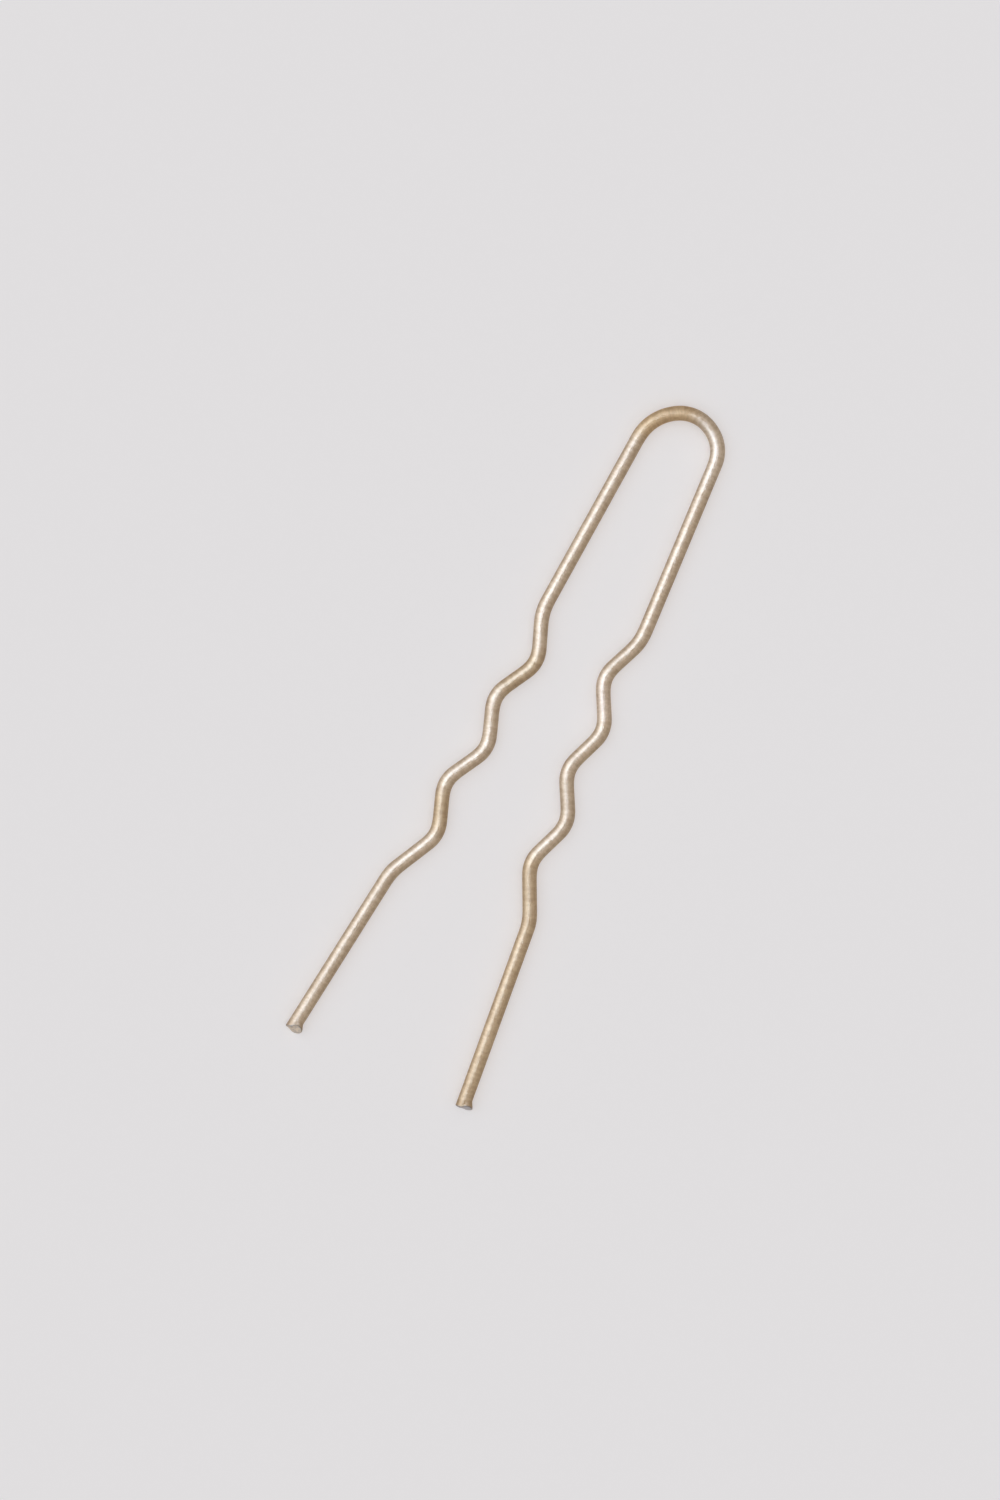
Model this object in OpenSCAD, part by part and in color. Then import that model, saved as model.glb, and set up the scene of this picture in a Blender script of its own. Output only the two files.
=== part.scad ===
// French hair pin: one length of round wire, bent into a U with crimped prongs.
// Millimetres. The pin lies flat on Z = 0 with its crown towards +Y.
// The origin is under the middle of the pin.

/* [Wire] */
// Diameter of the round wire
wire_d = 1.5; // [1.2:0.1:2]
// How far the wire bulges where it is bent, all round its section
bend_bulge = 0.02; // [0.01:0.01:0.04]
// Chamfer round the cut ends
tip_chamfer = 0.2; // [0.1:0.05:0.4]

/* [Crown] */
// Width outside the wire at the shoulders, before their corners are rounded
crown_w = 9.6; // [8:0.1:12]
// Radius of the bend at the top of the crown, at the middle of the wire
crown_r = 3.8; // [2.5:0.1:4.5]
// How far the top of the crown sits to the right
crown_shift = 0.25; // [0:0.05:0.5]
// Slope from the top down to the left shoulder, in degrees
left_slope = 36.5; // [30:0.5:42]
// Slope from the top down to the right shoulder, in degrees
right_slope = 34.5; // [30:0.5:42]
// Straight stretch left between the bends of the crown
crown_flat = 0.25; // [0.15:0.05:0.6]

/* [Prongs] */
// Length of the pin, from the top of the crown to the longer tip
pin_len = 75.6; // [70:0.2:90]
// How much shorter the right prong is cut
right_cut = 0.4; // [0:0.1:2]
// Width outside the wire at the first bends
neck_w = 12; // [11:0.1:15]
// Width outside the wire at the last bends
hip_w = 16.6; // [14:0.1:20]
// Width outside the wire at the tips
tip_w = 20.8; // [16:0.1:26]

/* [Crimps] */
// From the top of the crown to the right prong's first bend
crimp_from = 24.1; // [20:0.1:28]
// How much lower the left prong's crimps start
left_drop = 1.6; // [0:0.1:3]
// Length of the crimped stretch
crimp_len = 30.8; // [26:0.2:36]
// How far each crimp steps in from the line of its prong
crimp_in = 2.35; // [1.5:0.05:3]
// Radius of the crimps' bends, at the middle of the wire
crimp_r = 3; // [2:0.1:4]
// Radius of the first bend, where the crimps begin
first_r = 5.2; // [3:0.1:6]
// Radius of the last bend, where the straight tail begins
last_r = 4.2; // [3:0.1:6]

/* [Hidden] */
$fn = 64;

wire_r = wire_d / 2;
// Radius of the wire's section in a bend
swell_r = wire_r + bend_bulge;
// A straight reaches this far into the bend that it joins
joint_lap = 0.05;
// Two bends leave at least this much straight wire between them
least_straight = 0.1;
// The chamfer's cutter stands this far proud of the wire
cutter_over = 0.05;

LEFT = -1;
RIGHT = 1;

// Bends of one prong, from the crown down
SHARE_DOWN = 0;
STEP_IN = 1;
BEND_R = 2;
// Share of the crimped stretch, share of the step in, bend radius
crimps = [
    [0.00, 0, first_r],
    [0.16, 1, crimp_r],
    [0.32, 0, crimp_r],
    [0.49, 1, crimp_r],
    [0.65, 0, crimp_r],
    [0.82, 1, crimp_r],
    [1.00, 0, last_r]
];

// Corners along the middle of the wire, each [x, y, bend radius]
function half(width) = width / 2 - wire_r;
function prong_line(share) = half(neck_w) + share * (half(hip_w) - half(neck_w));
function first_bend_y(side) = pin_len / 2 - crimp_from - (side == LEFT ? left_drop : 0);
function crimp_corner(side, row) = [
    side * (prong_line(row[SHARE_DOWN]) - row[STEP_IN] * crimp_in),
    first_bend_y(side) - row[SHARE_DOWN] * crimp_len,
    row[BEND_R]
];
function prong(side) = [for (row = crimps) crimp_corner(side, row)];
function tip(side) = [side * half(tip_w), (side == RIGHT ? right_cut : 0) - pin_len / 2, 0];

// The bend at the top of the crown touches the pin's length, and a slope leaves it on each side
top_turn = left_slope + right_slope;
top_corner = let (
    centre = [crown_shift, pin_len / 2 - swell_r - crown_r],
    towards = 90 + (left_slope - right_slope) / 2,
    corner = centre + crown_r / cos(top_turn / 2) * [cos(towards), sin(towards)]
) [corner.x, corner.y, crown_r];

// A shoulder's bend takes what the top bend and the flat leave of its slope
function shoulder(side) = let (
    slope = side == LEFT ? left_slope : right_slope,
    x = side * half(crown_w),
    y = top_corner.y - abs(x - top_corner.x) * tan(slope),
    neck = prong(side)[0],
    lean = atan2(y - neck.y, side * (neck.x - x)),
    slope_len = abs(x - top_corner.x) / cos(slope),
    bend_len = slope_len - crown_r * tan(top_turn / 2) - crown_flat
) [x, y, bend_len / tan((lean - slope) / 2)];

function reversed(list) = [for (i = [len(list) - 1 : -1 : 0]) list[i]];
route = concat(
    [tip(LEFT)], reversed(prong(LEFT)),
    [shoulder(LEFT), top_corner, shoulder(RIGHT)],
    prong(RIGHT), [tip(RIGHT)]
);
last = len(route) - 1;

// Run i goes from corner i to the next, and the wire turns at each corner between
function run(i) = [route[i + 1].x - route[i].x, route[i + 1].y - route[i].y];
function heading(i) = atan2(run(i).y, run(i).x);
function turn(i) = let (t = heading(i) - heading(i - 1)) t - 360 * round(t / 360);

// A bend takes the same length of wire line on both sides of its corner,
// and is made tighter where the runs beside it are short
function is_end(i) = i == 0 || i == last;
function wanted(i) = is_end(i) ? 0 : route[i][BEND_R] * tan(abs(turn(i)) / 2);
function room(i) = min(1, (norm(run(i)) - least_straight) / (wanted(i) + wanted(i + 1)));
function taken(i) = is_end(i) ? 0 : wanted(i) * min(room(i - 1), room(i));
function lap(i) = is_end(i) ? 0 : joint_lap;

module straight(i) {
    start = taken(i) - lap(i);
    end = norm(run(i)) - taken(i + 1) + lap(i + 1);
    translate([route[i].x, route[i].y, swell_r])
        rotate([0, 90, heading(i)])
            difference() {
                translate([0, 0, start]) cylinder(h = end - start, r = wire_r);
                if (is_end(i)) chamfer_cutter();
                if (is_end(i + 1)) translate([0, 0, end]) mirror([0, 0, 1]) chamfer_cutter();
            }
}

module bend(i) {
    enter = heading(i - 1);
    side = sign(turn(i));
    bend_r = taken(i) / tan(abs(turn(i)) / 2);
    start = [route[i].x, route[i].y] - taken(i) * [cos(enter), sin(enter)];
    centre = start + side * bend_r * [-sin(enter), cos(enter)];
    start_angle = enter - 90 * side;
    translate([centre.x, centre.y, swell_r])
        rotate(min(start_angle, start_angle + turn(i)))
            rotate_extrude(angle = abs(turn(i)))
                translate([bend_r, 0])
                    circle(r = swell_r);
}

// Takes the edge off a cut end that stands on z = 0
module chamfer_cutter() {
    rotate_extrude()
        polygon([
            [wire_r - tip_chamfer - cutter_over, -cutter_over],
            [wire_r + cutter_over, -cutter_over],
            [wire_r + cutter_over, tip_chamfer + cutter_over]
        ]);
}

module pin_wire() {
    color([0.80, 0.68, 0.52]) {
        for (i = [0 : last - 1]) straight(i);
        for (i = [1 : last - 1]) bend(i);
    }
}

pin_wire();
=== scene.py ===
# A french hair pin: the bent and plated wire, and the floor, light and camera round it.
# Metres. The pin lies flat on z = 0 with its crown towards +y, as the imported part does.
import math
import bpy
from mathutils import Matrix, Vector


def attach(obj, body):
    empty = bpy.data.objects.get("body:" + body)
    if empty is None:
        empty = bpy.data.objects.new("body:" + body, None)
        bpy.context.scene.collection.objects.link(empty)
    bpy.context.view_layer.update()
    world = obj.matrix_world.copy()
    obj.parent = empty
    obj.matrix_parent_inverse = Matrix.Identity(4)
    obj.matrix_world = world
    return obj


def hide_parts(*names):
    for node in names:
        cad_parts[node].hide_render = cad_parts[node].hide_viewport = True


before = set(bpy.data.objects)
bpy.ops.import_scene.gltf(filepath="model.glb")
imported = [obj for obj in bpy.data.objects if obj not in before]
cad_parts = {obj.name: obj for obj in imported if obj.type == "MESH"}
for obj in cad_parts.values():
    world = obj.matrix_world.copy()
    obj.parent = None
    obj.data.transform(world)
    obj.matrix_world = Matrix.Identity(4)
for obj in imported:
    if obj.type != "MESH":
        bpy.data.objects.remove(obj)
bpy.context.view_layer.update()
scene = bpy.context.scene
mm = 0.001
print("frame loaded:", sorted(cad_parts))


# One output of a node. Python's operators on it add Math or Vector Math nodes.
class Value:
    def __init__(self, tree, socket):
        self.tree = tree
        self.socket = socket

    def isVector(self):
        return self.socket.type in ("VECTOR", "RGBA")

    def maths(self, operation, *parts):
        vectors = [part for part in parts if isinstance(part, Value) and part.isVector()]
        kind = "ShaderNodeVectorMath" if vectors else "ShaderNodeMath"
        return self.tree.add(kind, {"operation": operation}, dict(enumerate(parts)))

    def __add__(self, other):
        return self.maths("ADD", self, other)

    def __radd__(self, other):
        return self.maths("ADD", other, self)

    def __sub__(self, other):
        return self.maths("SUBTRACT", self, other)

    def __rsub__(self, other):
        return self.maths("SUBTRACT", other, self)

    def __mul__(self, other):
        return self.maths("MULTIPLY", self, other)

    def __rmul__(self, other):
        return self.maths("MULTIPLY", other, self)

    def __truediv__(self, other):
        return self.maths("DIVIDE", self, other)

    def __rtruediv__(self, other):
        return self.maths("DIVIDE", other, self)

    # 1 where it is true and 0 where it isn't
    def __lt__(self, other):
        return self.maths("LESS_THAN", self, other)

    def __abs__(self):
        return self.maths("ABSOLUTE", self)

    def sine(self):
        return self.maths("SINE", self)

    def cosine(self):
        return self.maths("COSINE", self)

    def least(self, other):
        return self.maths("MINIMUM", self, other)

    def most(self, other):
        return self.maths("MAXIMUM", self, other)

    # goes from 0 to 1 in a straight line as the value goes from low to high, and no further
    def ramp(self, low, high, kind="LINEAR"):
        sockets = {"Value": self, "From Min": low, "From Max": high}
        return self.tree.add("ShaderNodeMapRange", {"interpolation_type": kind}, sockets)

    # the same, easing in and out
    def ease(self, low, high):
        return self.ramp(low, high, "SMOOTHSTEP")

    def axis(self, name):
        return self.tree.add("ShaderNodeSeparateXYZ", {}, {"Vector": self}, name)


# A node tree that is written as expressions
class Tree:
    def __init__(self, nodeTree):
        self.nodeTree = nodeTree

    # Adds a node: its settings first, then a number, a colour or a Value for each input, by name or number
    def add(self, kind, settings, sockets, output=None):
        node = self.nodeTree.nodes.new(kind)
        for name, setting in settings.items():
            setattr(node, name, setting)
        for name, value in sockets.items():
            self.plug(self.find(node.inputs, name), value)
        return Value(self, self.find(node.outputs, output or 0))

    def find(self, sockets, name):
        shown = [socket for socket in sockets if socket.enabled]
        if isinstance(name, int):
            return shown[name]
        return next(socket for socket in shown if socket.name == name)

    def plug(self, socket, value):
        if isinstance(value, Value):
            self.nodeTree.links.new(value.socket, socket)
        elif socket.type == "VECTOR" and isinstance(value, (int, float)):
            socket.default_value = (value, value, value)
        else:
            socket.default_value = value

    def vector(self, x, y, z):
        return self.add("ShaderNodeCombineXYZ", {}, {"X": x, "Y": y, "Z": z})

    # the colour between a and b by share
    def mix(self, share, a, b):
        return self.add("ShaderNodeMix", {"data_type": "RGBA"}, {"Factor": share, "A": a, "B": b})

    # noise from 0 to 1 at a point
    def noise(self, point, scale, detail, roughness=0.5):
        sockets = {"Vector": point, "Scale": scale, "Detail": detail, "Roughness": roughness}
        return self.add("ShaderNodeTexNoise", {}, sockets, "Fac")

    # the same, and different for each seed
    def seededNoise(self, point, seed, scale, detail):
        sockets = {"Vector": point, "W": seed, "Scale": scale, "Detail": detail}
        return self.add("ShaderNodeTexNoise", {"noise_dimensions": "4D"}, sockets, "Fac")

    # where a point of the geometry is
    def here(self):
        return self.add("GeometryNodeInputPosition", {}, {})

    # what a point of the geometry remembers under a name
    def named(self, name, kind="FLOAT"):
        return self.add("GeometryNodeInputNamedAttribute", {"data_type": kind}, {"Name": name})

    def store(self, geometry, name, value, kind="FLOAT"):
        settings = {"data_type": kind, "domain": "POINT"}
        sockets = {"Geometry": geometry, "Name": name, "Value": value}
        return self.add("GeometryNodeStoreNamedAttribute", settings, sockets)

    # the value, evened out between neighbouring points
    def blur(self, value, kind, iterations, weight=1.0):
        sockets = {"Value": value, "Iterations": iterations, "Weight": weight}
        return self.add("GeometryNodeBlurAttribute", {"data_type": kind}, sockets)


# The pin's sizes in millimetres, as it is constructed
pin = {
    "wire": 1.5,             # thickness of the wire
    "bulge": 0.02,           # how far it bulges in a bend
    "length": 75.6,          # from the top of the crown to the longer tip
    "rightCut": 0.4,         # how much shorter the right prong is
    "crownWidth": 9.6,       # outside the wire, before the shoulders are rounded
    "crownRadius": 3.8,      # of the bend at the top
    "crownShift": 0.25,      # of the top to the right
    "leftSlope": 36.5,       # degrees, from the top down to the shoulder
    "rightSlope": 34.5,
    "crownFlat": 0.25,       # straight wire between two bends of the crown
    "neckWidth": 12.0,       # outside the wire at the first bends
    "hipWidth": 16.6,        # at the last bends
    "tipWidth": 20.8,        # at the tips
    "crimpFrom": 24.1,       # from the top to the right prong's first bend
    "leftDrop": 1.6,         # how much lower the left prong's crimps start
    "crimpLength": 30.8,
    "crimpIn": 2.35,         # how far a crimp steps in
    # share of the crimped stretch, share of the step in, bend radius
    "crimps": [
        (0.00, 0, 5.2),
        (0.16, 1, 3.0),
        (0.32, 0, 3.0),
        (0.49, 1, 3.0),
        (0.65, 0, 3.0),
        (0.82, 1, 3.0),
        (1.00, 0, 4.2),
    ],
}


# half a width, at the middle of the wire
def half(width):
    return (pin[width] - pin["wire"]) / 2


# The corners of one prong's middle line from the crown down, each x, y and bend radius.
# The left side is -1 and the right one 1.
def prongCorners(side):
    startY = pin["length"] / 2 - pin["crimpFrom"] - (pin["leftDrop"] if side < 0 else 0)
    corners = []
    for share, stepIn, bendRadius in pin["crimps"]:
        line = half("neckWidth") + share * (half("hipWidth") - half("neckWidth"))
        x = side * (line - stepIn * pin["crimpIn"])
        corners.append((x, startY - share * pin["crimpLength"], bendRadius))
    tipY = (pin["rightCut"] if side > 0 else 0) - pin["length"] / 2
    return corners + [(side * half("tipWidth"), tipY, 0)]


# the top of the crown, where two slopes meet over its bend
def topCorner():
    turn = math.radians(pin["leftSlope"] + pin["rightSlope"])
    towards = math.radians(90 + (pin["leftSlope"] - pin["rightSlope"]) / 2)
    reach = pin["crownRadius"] / math.cos(turn / 2)
    centreY = pin["length"] / 2 - pin["wire"] / 2 - pin["bulge"] - pin["crownRadius"]
    x = pin["crownShift"] + reach * math.cos(towards)
    return (x, centreY + reach * math.sin(towards), pin["crownRadius"])


# a shoulder, whose bend takes what the top bend and the flat leave of its slope
def shoulderCorner(side):
    top = topCorner()
    slope = math.radians(pin["leftSlope"] if side < 0 else pin["rightSlope"])
    turnAtTop = math.radians(pin["leftSlope"] + pin["rightSlope"])
    x = side * half("crownWidth")
    across = abs(x - top[0])
    y = top[1] - across * math.tan(slope)
    neck = prongCorners(side)[0]
    lean = math.atan2(y - neck[1], side * (neck[0] - x))
    takenAtTop = pin["crownRadius"] * math.tan(turnAtTop / 2)
    bendLength = across / math.cos(slope) - takenAtTop - pin["crownFlat"]
    return (x, y, bendLength / math.tan((lean - slope) / 2))


# The middle line's corners from the left tip to the right one, as a chain of edges
def routeObject():
    crown = [shoulderCorner(-1), topCorner(), shoulderCorner(1)]
    corners = prongCorners(-1)[::-1] + crown + prongCorners(1)
    height = pin["wire"] / 2 + pin["bulge"]
    points = [(x * mm, y * mm, height * mm) for x, y, bendRadius in corners]
    mesh = bpy.data.meshes.new("route")
    mesh.from_pydata(points, [(i, i + 1) for i in range(len(points) - 1)], [])
    bendRadii = mesh.attributes.new("bendRadius", "FLOAT", "POINT")
    bendRadii.data.foreach_set("value", [bendRadius * mm for x, y, bendRadius in corners])
    route = bpy.data.objects.new("route", mesh)
    scene.collection.objects.link(route)
    return route


# How the wire is swept along the route, in metres where it is a length
sweep = {
    "Wire Radius": pin["wire"] / 2 * mm,
    "Bulge": pin["bulge"] * mm,
    "Edge Radius": 0.14 * mm,     # of the worn edge round a cut end
    "Dome": 0.05 * mm,            # how far the cut end stands proud in its middle
    "Left Slant": 0.8,            # how steeply each cut leans back on the side that the cutter came from
    "Right Slant": 0.45,
    "Left Slant From": -1.2,      # where across the wire it starts to lean, in wire radii to the right
    "Right Slant From": -0.5,
    "Slant To": 0.9,              # where it leans fully
    "Hinge": 0.4,                 # how far under the wire's middle both lean about, in wire radii
    "Slant Reach": 1.8 * mm,      # how far from the end the wire still leans with the cut
    "Burr": 0.28 * mm,            # how far the cutter spread the wire on that side
    "Burr From": 0.1 * mm,        # how far from the end it starts to fade
    "Burr Reach": 1.1 * mm,       # and where it is gone
    "Roughened Cut": 0.06 * mm,   # of the cut end, from hollow to peak
    "Rough From": 0.3 * mm,
    "Rough Reach": 0.9 * mm,
    "Rough Steps": 3.5,           # in a millimetre
    "Unevenness": 0.004 * mm,     # of the wire's surface
    "Uneven Steps": 0.6,          # in a millimetre
    "Rings": 901,                 # along the whole wire, with those over both ends
    "Sides": 48,
    "Bend Steps": 32,
    "Easing": 8,                  # how many times the middle line is evened out
    "Bulge Easing": 3,            # the same for how much it bulges
    "Merge Within": 0.0001 * mm,
    "Seed": 4,
}


# Geometry Nodes: rounds the route's corners, lays rings along it and joins them into a wire with cut ends
def wireTree():
    nodeGroup = bpy.data.node_groups.new("bent wire", "GeometryNodeTree")
    tree = Tree(nodeGroup)
    nodeGroup.interface.new_socket("Geometry", in_out="OUTPUT", socket_type="NodeSocketGeometry")
    nodeGroup.interface.new_socket("Route", in_out="INPUT", socket_type="NodeSocketGeometry")
    for name, value in sweep.items():
        kind = "NodeSocketInt" if isinstance(value, int) else "NodeSocketFloat"
        nodeGroup.interface.new_socket(name, in_out="INPUT", socket_type=kind)
    nodeGroup.interface.new_socket("Material", in_out="INPUT", socket_type="NodeSocketMaterial")
    given = nodeGroup.nodes.new("NodeGroupInput")
    use = {socket.name: Value(tree, socket) for socket in given.outputs if socket.name}
    radius = use["Wire Radius"]

    # the middle line, with an arc at each corner
    corners = tree.add("GeometryNodeMeshToCurve", {}, {"Mesh": use["Route"]})
    middle = tree.add("GeometryNodeFilletCurve", {"mode": "POLY"}, {
        "Curve": corners,
        "Count": use["Bend Steps"],
        "Radius": tree.named("bendRadius"),
        "Limit Radius": False,
    })
    length = tree.add("GeometryNodeCurveLength", {}, {"Curve": middle})

    # rings counted from the nearer end: first over the cut face, then round its edge, then along the wire
    faceRings = 5
    edgeRings = 9
    endRings = faceRings + edgeRings
    index = tree.add("GeometryNodeInputIndex", {}, {})
    lastRing = use["Rings"] - 1
    ring = index.least(lastRing - index)
    overFace = ring.ramp(0, faceRings)
    roundEdge = ring.ramp(faceRings, endRings) * (math.pi / 2)
    along = (ring - endRings).most(0)
    endDepth = use["Dome"] + use["Edge Radius"]
    step = (length / 2 - endDepth) / (lastRing / 2 - endRings)
    overEnd = use["Dome"] * overFace * overFace + use["Edge Radius"] * (1 - roundEdge.cosine())
    fromEnd = overEnd + step * along
    ringRadius = (radius - use["Edge Radius"]) * overFace + use["Edge Radius"] * roundEdge.sine()
    firstHalf = index < lastRing / 2
    fromStart = fromEnd * firstHalf + (length - fromEnd) * (1 - firstHalf)
    lineSockets = {"Count": use["Rings"], "Offset": (0, 0, mm)}
    line = tree.add("GeometryNodeMeshLine", {"mode": "OFFSET"}, lineSockets)
    line = tree.store(line, "fromStart", fromStart)
    line = tree.store(line, "fromEnd", fromEnd)
    line = tree.store(line, "ringRadius", ringRadius)
    line = tree.store(line, "outwards", 1 - 2 * firstHalf)

    def onMiddle(what):
        settings = {"mode": "LENGTH", "use_all_curves": True}
        sockets = {"Curves": middle, "Length": tree.named("fromStart")}
        return tree.add("GeometryNodeSampleCurve", settings, sockets, what)

    line = tree.store(line, "heading", onMiddle("Tangent"), "FLOAT_VECTOR")
    line = tree.add("GeometryNodeSetPosition", {}, {"Geometry": line, "Position": onMiddle("Position")})

    # cold-bent wire has no sudden start to a bend, so the middle line is eased, but not at its ends
    keptRings = 12
    eased = tree.blur(tree.here(), "FLOAT_VECTOR", use["Easing"], along.ramp(0, keptRings))
    line = tree.add("GeometryNodeSetPosition", {}, {"Geometry": line, "Position": eased})
    line = tree.store(line, "middle", tree.here(), "FLOAT_VECTOR")

    # how hard the wire is bent at each ring: its turn over two rings, against the crimps' tightest bend.
    # At the tips it is taken as straight.
    def headingAt(offset):
        settings = {"data_type": "FLOAT_VECTOR", "domain": "POINT"}
        sockets = {"Value": tree.named("heading", "FLOAT_VECTOR"), "Index": index + offset}
        return tree.add("GeometryNodeFieldAtIndex", settings, sockets)

    before = headingAt(-1)
    after = headingAt(1)
    turn = before.axis("X") * after.axis("Y") - before.axis("Y") * after.axis("X")
    tightest = min(bendRadius for share, stepIn, bendRadius in pin["crimps"]) * mm
    straightRings = 4
    bent = turn * tightest / (2 * step) * along.ramp(0, straightRings)
    line = tree.store(line, "bent", tree.blur(bent, "FLOAT", use["Bulge Easing"]))

    # a round section for each ring
    circleSockets = {"Resolution": use["Sides"], "Radius": 1.0}
    section = tree.add("GeometryNodeCurvePrimitiveCircle", {"mode": "RADIUS"}, circleSockets)
    section = tree.store(section, "across", tree.here(), "FLOAT_VECTOR")
    curve = tree.add("GeometryNodeMeshToCurve", {}, {"Mesh": line})
    curve = tree.add("GeometryNodeSetCurveNormal", {"mode": "Z_UP"}, {"Curve": curve})
    wire = tree.add("GeometryNodeCurveToMesh", {}, {
        "Curve": curve,
        "Profile Curve": section,
        "Scale": tree.named("ringRadius"),
        "Fill Caps": False,
    })

    # the wire as if straight, for the finish to follow: x and y across it, z along it, in millimetres
    across = tree.named("across", "FLOAT_VECTOR") * tree.named("ringRadius")
    inWire = tree.vector(across.axis("X"), across.axis("Y"), tree.named("fromStart")) / mm
    wire = tree.store(wire, "inWire", inWire, "FLOAT_VECTOR")

    # bends bulge, the surface is never quite even, and the cut ends are rough
    spoke = (tree.here() - tree.named("middle", "FLOAT_VECTOR")) / radius
    swell = use["Bulge"] * abs(tree.named("bent")).least(1)
    waves = tree.seededNoise(inWire, use["Seed"], use["Uneven Steps"], 2.0) - 0.5
    swell = swell + use["Unevenness"] * waves * 2
    pits = tree.seededNoise(inWire, use["Seed"], use["Rough Steps"], 3.0) - 0.5
    nearCut = 1 - tree.named("fromEnd").ease(use["Rough From"], use["Rough Reach"])
    rough = use["Roughened Cut"] * pits * nearCut

    # the cutter came from the right: there the end leans back, most at its top, and the wire is spread
    toRight = spoke.axis("X")
    atRight = (tree.named("outwards") + 1) / 2

    def byEnd(name):
        left = use["Left " + name]
        return left + (use["Right " + name] - left) * atRight

    nearBurr = 1 - tree.named("fromEnd").ease(use["Burr From"], use["Burr Reach"])
    nearSlant = 1 - tree.named("fromEnd").ease(0, use["Slant Reach"])
    burr = use["Burr"] * toRight.ease(0, 1) * nearBurr
    leanBack = byEnd("Slant") * radius * (spoke.axis("Z") + use["Hinge"])
    leanBack = leanBack * toRight.ease(byEnd("Slant From"), use["Slant To"]) * nearSlant
    outwards = tree.named("heading", "FLOAT_VECTOR") * tree.named("outwards")
    offset = spoke * (swell + rough + burr) - outwards * (leanBack + rough)
    wire = tree.add("GeometryNodeSetPosition", {}, {"Geometry": wire, "Offset": offset})

    # the rings in the middle of each end have no width, so their points are made one
    mergeSockets = {"Geometry": wire, "Distance": use["Merge Within"]}
    wire = tree.add("GeometryNodeMergeByDistance", {}, mergeSockets)
    wire = tree.add("GeometryNodeSetShadeSmooth", {}, {"Geometry": wire})
    wire = tree.add("GeometryNodeRealizeInstances", {}, {"Geometry": wire})
    wire = tree.add("GeometryNodeSetMaterial", {}, {"Geometry": wire, "Material": use["Material"]})
    result = nodeGroup.nodes.new("NodeGroupOutput")
    nodeGroup.links.new(wire.socket, result.inputs["Geometry"])
    return nodeGroup


# Runs the tree on the route and keeps the result as a plain mesh
def sweptWire(material):
    route = routeObject()
    modifier = route.modifiers.new("bent wire", "NODES")
    modifier.node_group = wireTree()
    for item in modifier.node_group.interface.items_tree:
        if item.in_out == "INPUT" and item.name in sweep:
            modifier[item.identifier] = sweep[item.name]
        if item.name == "Material":
            modifier[item.identifier] = material
    evaluated = route.evaluated_get(bpy.context.evaluated_depsgraph_get())
    mesh = bpy.data.meshes.new_from_object(evaluated)
    mesh.name = "wire"
    route.modifiers.remove(modifier)
    bpy.data.objects.remove(route)
    wire = bpy.data.objects.new("wire", mesh)
    scene.collection.objects.link(wire)
    return wire


# The plated finish, with painted shade and painted highlight in stretches along the wire, and painted shade
# on the right cut end
plate = {
    "gold": (0.572, 0.43, 0.286, 1),        # most of the plate
    "worn": (0.412, 0.294, 0.186, 1),       # where it is thinner and browner
    "leftSteel": (0.90, 0.74, 0.56, 1),     # the bare cut ends
    # the right cut end's steel is darkened: painted shade
    "rightSteelPaintedShade": (0.56, 0.53, 0.55, 1),
    "dull": (0.52, 0.46, 0.40, 1),          # spots on them
    "edge": (0.26, 0.21, 0.16, 1),          # the dark line where the plate ends at a cut
    "roughness": 0.55,
    "polish": 0.035,                        # how much smoother the worn plate is
    "cutRoughness": 0.1,                    # how much rougher a cut end is
    # steps of each pattern in a millimetre, two across the wire and one along it where they differ
    "lineSteps": (9.0, 9.0, 0.35),
    "bandSteps": (0.8, 0.8, 3.2),
    "grainSteps": 3.5,
    "patchSteps": 0.45,
    "speckShares": (0.25, 0.40, 0.35),      # of the lines, the bands and the grain in the specks
    "speckEdge": (0.42, 0.58),              # where in its pattern a speck starts, and where it is full
    "patchEdge": (0.4, 0.7),
    "patchShare": 0.25,                     # how much of the thin plate is in patches
    "thinNearCut": (0.3 * mm, 1.2 * mm),    # how far from the end it is thin all over, and where not at all
    "lineDepth": 0.0012 * mm,               # of the drawn lines along the wire
    "bandDepth": 0.0018 * mm,               # of the faint bands across it
    "grainDepth": 0.0012 * mm,
    "cutGrain": 14,                         # how many times its depth is added on a cut end
    "spotEdge": (0.36, 0.60),               # where in the grain a dull spot ends, and where there is none
    "cutTo": 0.16 * mm,                     # how far from the end the bare cut reaches
    # painted light along the wire: deeper stretches are painted shade and paler ones painted highlight;
    # start and end in millimetres from the left tip, and its colour factor
    "paintedLightStretches": [
        # painted shade in the first three and the last, painted highlight in the two paler ones
        (25.5, 30.0, (0.90, 0.85, 0.75, 1)),        # in the left prong's lowest crimp
        (42.5, 48.0, (0.90, 0.86, 0.77, 1)),        # in its top one
        (73.0, 79.5, (1.00, 0.91, 0.75, 1)),        # over the top of the crown
        (80.5, 88.0, (1.08, 1.12, 1.18, 1)),        # its right shoulder
        (110.5, 114.5, (1.17, 1.20, 1.29, 1)),      # in the right prong's top crimp
        (131.5, 165.0, (0.98, 0.94, 0.85, 1)),      # the right tail, to its end
    ],
    "fadesOver": 2.5,
    "halfway": 80,                          # millimetres from the left tip, in the crown
}


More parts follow.
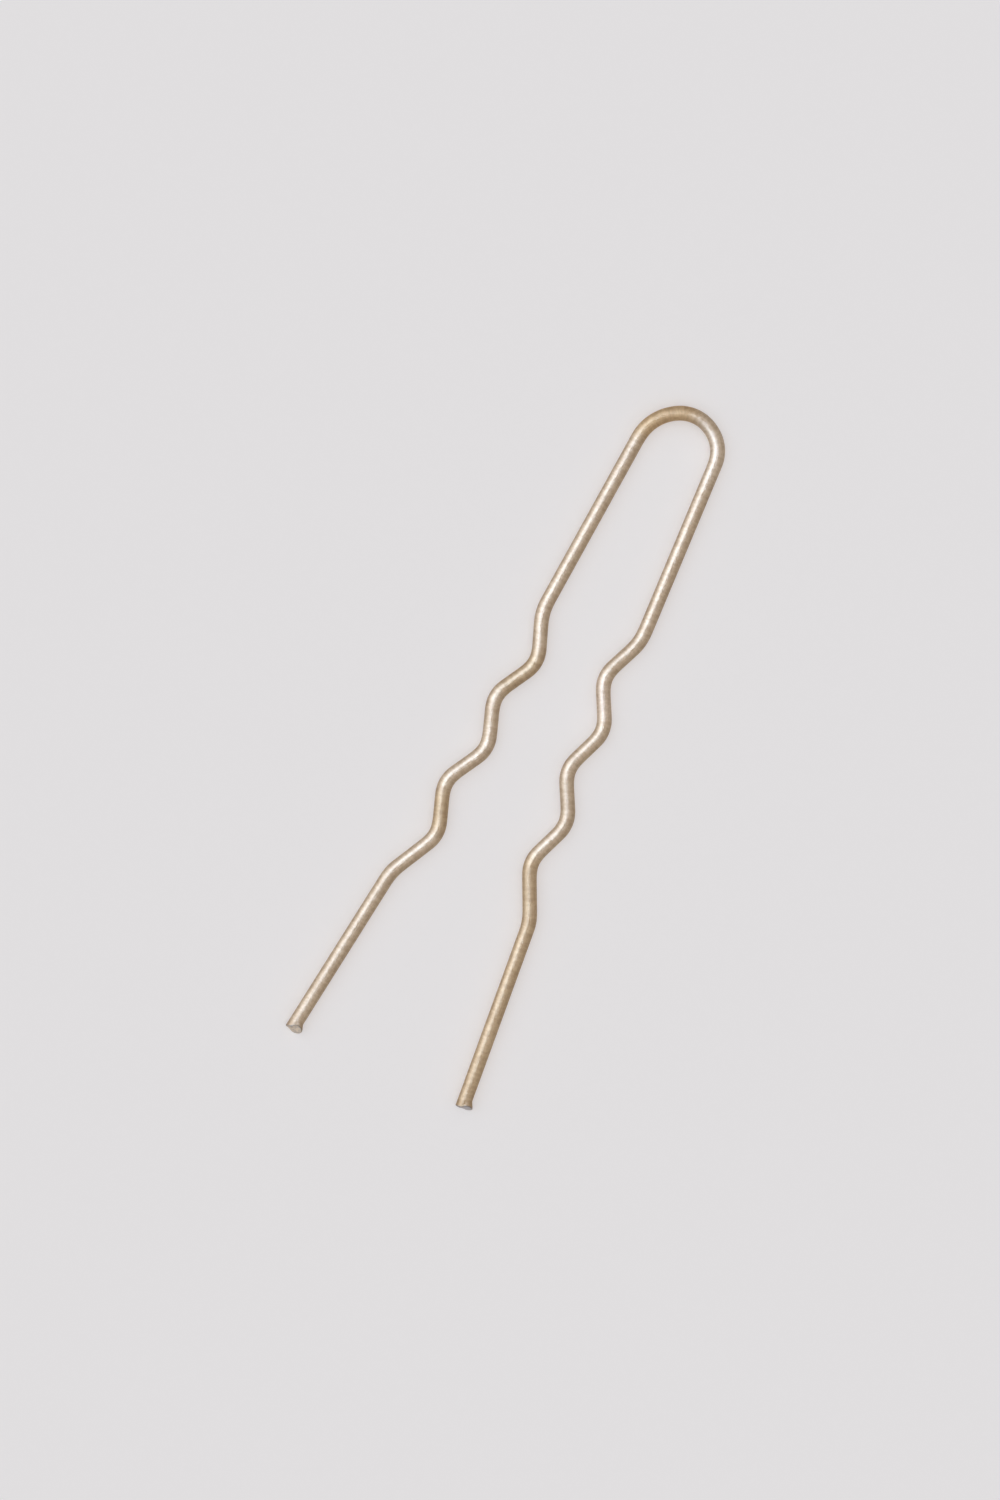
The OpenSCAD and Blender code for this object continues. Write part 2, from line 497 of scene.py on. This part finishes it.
def plateMaterial():
    material = bpy.data.materials.new("champagne plate")
    material.use_nodes = True
    tree = Tree(material.node_tree)
    shader = material.node_tree.nodes["Principled BSDF"]
    shader.distribution = "GGX"
    inWire = tree.add("ShaderNodeAttribute", {"attribute_name": "inWire"}, {}, "Vector")
    fromEnd = tree.add("ShaderNodeAttribute", {"attribute_name": "fromEnd"}, {}, "Fac")

    # drawn lines are long and thin, bands lie across the wire, and grain is round
    lines = tree.noise(inWire * plate["lineSteps"], 1.0, 3.0, 0.6)
    bands = tree.noise(inWire * plate["bandSteps"], 1.0, 3.0, 0.6)
    grain = tree.noise(inWire, plate["grainSteps"], 4.0, 0.65)
    patches = tree.noise(inWire, plate["patchSteps"], 3.0, 0.6)

    # the plate is thinner in specks and patches, and near a cut
    lineShare, bandShare, grainShare = plate["speckShares"]
    specks = lines * lineShare + bands * bandShare + grain * grainShare
    inPatch = patches.ease(*plate["patchEdge"]) * plate["patchShare"]
    inSpeck = specks.ease(*plate["speckEdge"]) * (1 - plate["patchShare"])
    nearCut = 1 - fromEnd.ease(*plate["thinNearCut"])
    thin = (inPatch + inSpeck + nearCut).least(1)

    # painted light along the wire: darker stretches of painted shade and paler ones of painted highlight
    along = inWire.axis("Z")
    fade = plate["fadesOver"] / 2
    paintedLightTint = 1
    for start, end, shadeOrHighlightTint in plate["paintedLightStretches"]:
        within = along.ease(start - fade, start + fade) * (1 - along.ease(end - fade, end + fade))
        paintedLightTint = paintedLightTint * tree.mix(within, (1, 1, 1, 1), shadeOrHighlightTint)

    # the cut ends are bare and spotted, with a dark line round them; the right one's steel is darker, which
    # is painted shade
    cutEdge = fromEnd + (grain - 0.5) * plate["cutTo"]
    cut = 1 - cutEdge.ease(plate["cutTo"] * 0.4, plate["cutTo"] * 1.6)
    # the plate's colour, times the painted shade and painted highlight of the stretches
    platedWithPaintedLight = tree.mix(thin, plate["gold"], plate["worn"]) * paintedLightTint
    # the right end's darker steel is painted shade
    atRight = along.ramp(plate["halfway"], plate["halfway"] + 1)
    steelWithPaintedShade = tree.mix(atRight, plate["leftSteel"], plate["rightSteelPaintedShade"])
    bare = tree.mix(grain.ease(*plate["spotEdge"]), plate["dull"], steelWithPaintedShade)
    colour = tree.mix(cut, platedWithPaintedLight, bare)
    colour = tree.mix(cut * (1 - cut) * 4, colour, plate["edge"])
    roughness = plate["roughness"] + (0.5 - thin) * plate["polish"] + cut * plate["cutRoughness"]

    grainHeight = grain * plate["grainDepth"] * (1 + cut * plate["cutGrain"])
    height = lines * plate["lineDepth"] + bands * plate["bandDepth"] + grainHeight
    bumpSockets = {"Height": height, "Strength": 1.0, "Distance": 1.0}
    bump = tree.add("ShaderNodeBump", {}, bumpSockets, "Normal")
    tree.plug(shader.inputs["Base Color"], colour)
    tree.plug(shader.inputs["Roughness"], roughness)
    tree.plug(shader.inputs["Normal"], bump)
    shader.inputs["Metallic"].default_value = 1.0
    return material


wire = sweptWire(plateMaterial())
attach(wire, "root")
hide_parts("pin_wire")
print("wire made:", len(wire.data.polygons), "faces")

# The photograph's frame: where it was taken from, and how the pin lies in it
photo = {
    "pixelsAcross": 1000,
    "pixelsDown": 1500,
    "pixel": 0.1027,              # millimetres that a pixel covers, at the middle of the wire
    "pinMiddle": (536.5, 739.9),  # pixels from the left and from the top
    "lean": 25.9,                 # degrees that the pin is turned clockwise
    "lens": 100,                  # millimetres
    "sensor": 36,                 # millimetres along its longer side
}
lean = Matrix.Rotation(math.radians(photo["lean"]), 3, "Z")


# a place given as the photograph shows it: to its right, to its top, and up from the floor
def asSeen(right, top, up):
    return lean @ Vector((right, top, up))


def makeCamera():
    data = bpy.data.cameras.new("camera")
    data.type = "PERSP"
    data.sensor_width = photo["sensor"]
    data.lens = photo["lens"]
    camera = bpy.data.objects.new("camera", data)
    scene.collection.objects.link(camera)
    right = (photo["pixelsAcross"] / 2 - photo["pinMiddle"][0]) * photo["pixel"] * mm
    top = (photo["pinMiddle"][1] - photo["pixelsDown"] / 2) * photo["pixel"] * mm
    frameHeight = photo["pixelsDown"] * photo["pixel"] * mm
    distance = frameHeight * photo["lens"] / photo["sensor"]
    camera.location = asSeen(right, top, distance + (pin["wire"] / 2 + pin["bulge"]) * mm)
    camera.rotation_euler = (0, 0, math.radians(photo["lean"]))
    data.clip_start = 0.01
    data.clip_end = 20
    scene.camera = camera


# Each light: where it stands as the photograph shows it, its size, power in watts and colour
lights = {
    "ceiling": {"place": (0.0, 0.0, 1.0), "size": 12.0, "power": 373.0, "colour": (1.0, 0.99, 0.99)},
    "window": {"place": (-0.81, 0.31, 0.5), "size": 0.85, "power": 5.0, "colour": (0.75, 0.85, 1.0)},
    "lamp": {"place": (-0.068, 0.048, 0.150), "size": 0.047, "power": 0.32, "colour": (0.42, 0.61, 1.0)},
}
room = {"colour": (1.0, 0.99, 1.0, 1), "strength": 0.03}


def makeLight(name, light):
    data = bpy.data.lights.new(name, "AREA")
    data.shape = "SQUARE"
    data.size = light["size"]
    data.energy = light["power"]
    data.color = light["colour"]
    lamp = bpy.data.objects.new(name, data)
    scene.collection.objects.link(lamp)
    lamp.location = asSeen(*light["place"])
    towards = asSeen(0, 0, 0) - lamp.location
    lamp.rotation_euler = towards.to_track_quat("-Z", "Y").to_euler()
    return lamp


def makeWorld():
    world = bpy.data.worlds.new("room")
    world.use_nodes = True
    background = world.node_tree.nodes["Background"]
    background.inputs["Color"].default_value = room["colour"]
    background.inputs["Strength"].default_value = room["strength"]
    scene.world = world


# The pale floor: a board with a fine fibre
board = {
    "size": 3.0,
    "colour": (0.90, 0.89, 0.90, 1),
    "fibre": (0.891, 0.8811, 0.891, 1),
    "fibreSteps": 900.0,          # in a metre
    "fibreDepth": 0.004 * mm,
    "roughness": 0.9,
    "gloss": 0.1,
}


def makeFloor():
    far = board["size"] / 2
    corners = [(-far, -far, 0), (far, -far, 0), (far, far, 0), (-far, far, 0)]
    mesh = bpy.data.meshes.new("floor")
    mesh.from_pydata(corners, [], [(0, 1, 2, 3)])
    floor = bpy.data.objects.new("floor", mesh)
    scene.collection.objects.link(floor)
    material = bpy.data.materials.new("pale board")
    material.use_nodes = True
    tree = Tree(material.node_tree)
    shader = material.node_tree.nodes["Principled BSDF"]
    spot = tree.add("ShaderNodeTexCoord", {}, {}, "Object")
    fibre = tree.noise(spot, board["fibreSteps"], 3.0)
    bumpSockets = {"Height": fibre * board["fibreDepth"], "Distance": 1.0}
    tree.plug(shader.inputs["Base Color"], tree.mix(fibre, board["colour"], board["fibre"]))
    tree.plug(shader.inputs["Normal"], tree.add("ShaderNodeBump", {}, bumpSockets, "Normal"))
    shader.inputs["Roughness"].default_value = board["roughness"]
    shader.inputs["Specular IOR Level"].default_value = board["gloss"]
    mesh.materials.append(material)
    return floor


def collectionOf(name, item):
    collection = bpy.data.collections.new(name)
    collection.objects.link(item)
    return collection


makeCamera()
lamps = {name: makeLight(name, light) for name, light in lights.items()}
makeWorld()
floor = makeFloor()

# The photograph's floor is one even tone, with next to no shade beside the wire. So the window and
# the lamp light the wire alone, and the wire takes no light of the ceiling from the floor.
wireOnly = collectionOf("lit from the side", wire)
lamps["window"].light_linking.receiver_collection = wireOnly
lamps["lamp"].light_linking.receiver_collection = wireOnly
lamps["ceiling"].light_linking.blocker_collection = collectionOf("shading from above", floor)
scene.view_settings.view_transform = "Standard"
print("camera, lights and floor set")
